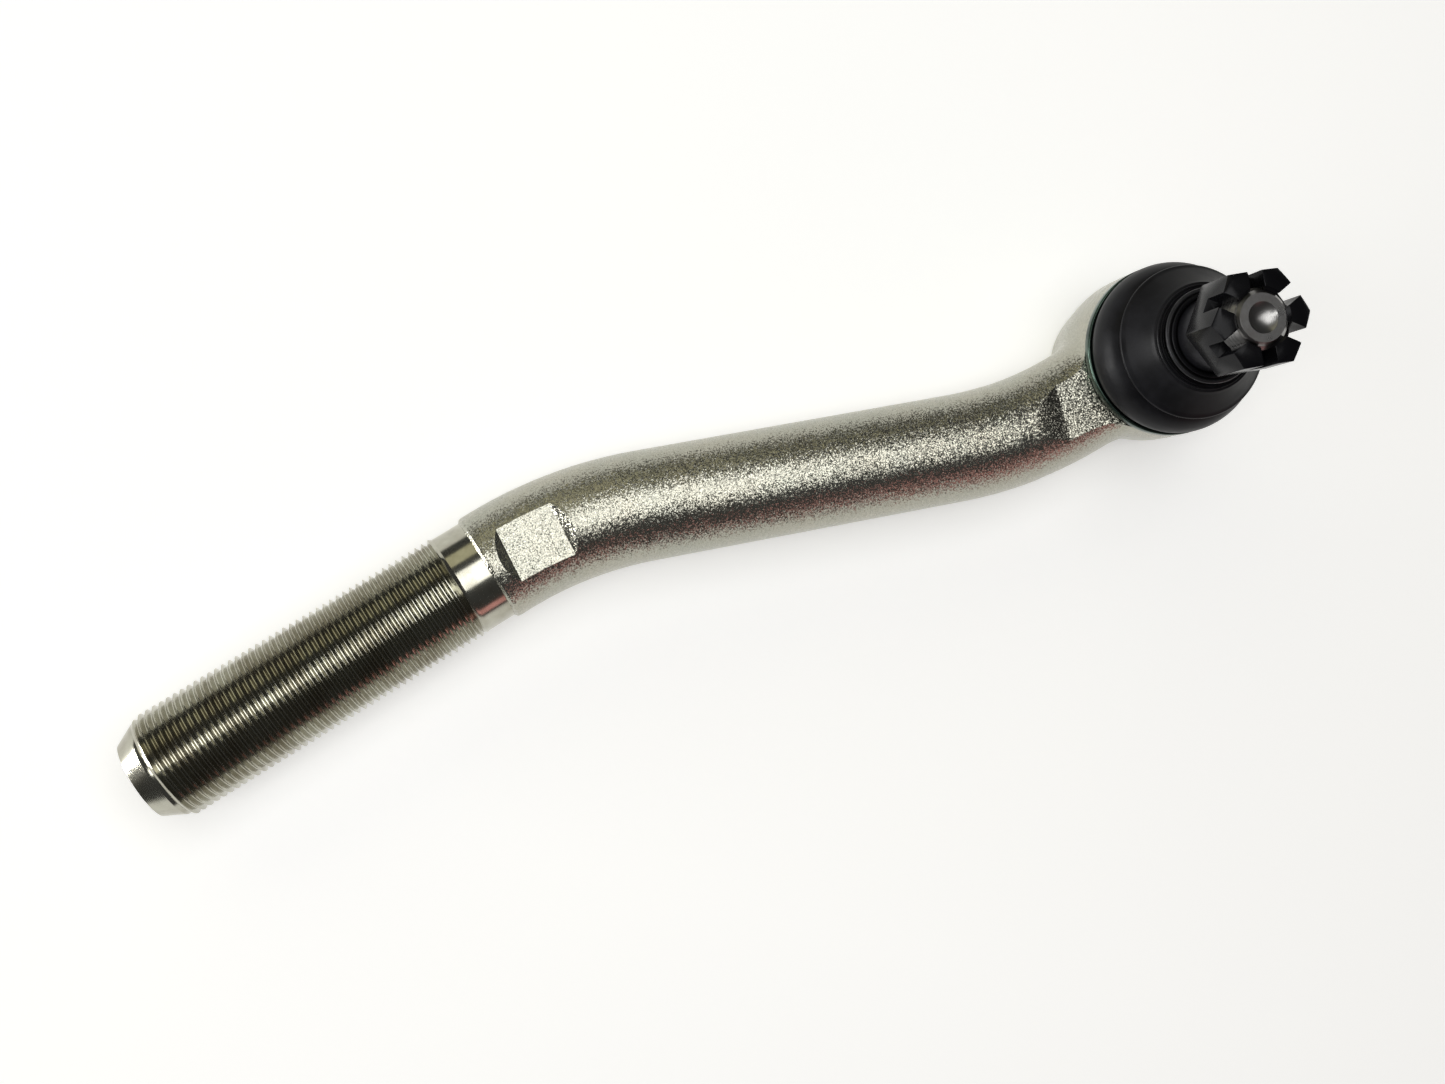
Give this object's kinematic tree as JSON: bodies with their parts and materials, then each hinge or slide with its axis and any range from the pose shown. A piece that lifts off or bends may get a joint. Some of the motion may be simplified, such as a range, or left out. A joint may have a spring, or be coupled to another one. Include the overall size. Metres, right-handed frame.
{
  "type": "tie rod end",
  "caption": "Outer tie rod end: cranked forged shank with a threaded end, spanner flats, a sealed ball joint, a tapered stud and a slotted nut.",
  "frame": {"origin": "centre of the ball", "axes": "+Z along the stud towards the nut, -X along the shank towards its threaded end, +Y towards the side that the threaded end is offset to"},
  "size_m": [0.3234, 0.0879, 0.0893],
  "materials": {
    "zinc_forging": "shot-blasted steel forging with clear, faintly green-yellow zinc plating",
    "zinc_pressing": "pressed steel with clear zinc plating",
    "bare_steel": "turned and rolled steel, lightly oiled",
    "black_oxide": "black oxide, oiled, semi-gloss",
    "boot_rubber": "moulded rubber, satin",
    "ring_steel": "dark green-tinted passivated steel",
    "ring_wire": "black phosphated spring wire",
    "spring_steel": "greased spring steel",
    "seat_plastic": "natural acetal, greased"
  },
  "bodies": {
    "housing": {"forged_housing": "zinc_forging", "upper_ball_seat": "seat_plastic", "lower_ball_seat": "seat_plastic", "preload_spring": "spring_steel", "closure_cap": "zinc_pressing", "boot_base_ring": "ring_steel"},
    "boot": {"dust_boot": "boot_rubber"},
    "boot_neck": {"boot_neck_ring": "ring_wire"},
    "stud": {"ball_stud": "bare_steel", "castle_nut": "black_oxide"}
  },
  "joints": [
    {"name": "swing_x", "type": "hinge", "parent": "housing", "child": "boot", "pos_m": [0, 0, 0], "axis": [1, 0, 0], "range_deg": [-18, 18], "deforming": ["dust_boot"]},
    {"name": "swing_y", "type": "hinge", "parent": "boot", "child": "boot_neck", "pos_m": [0, 0, 0], "axis": [0, 1, 0], "range_deg": [-18, 18], "deforming": ["dust_boot"]},
    {"name": "stud_spin", "type": "hinge", "parent": "boot_neck", "child": "stud", "pos_m": [0, 0, 0], "axis": [0, 0, 1], "continuous": true}
  ]
}
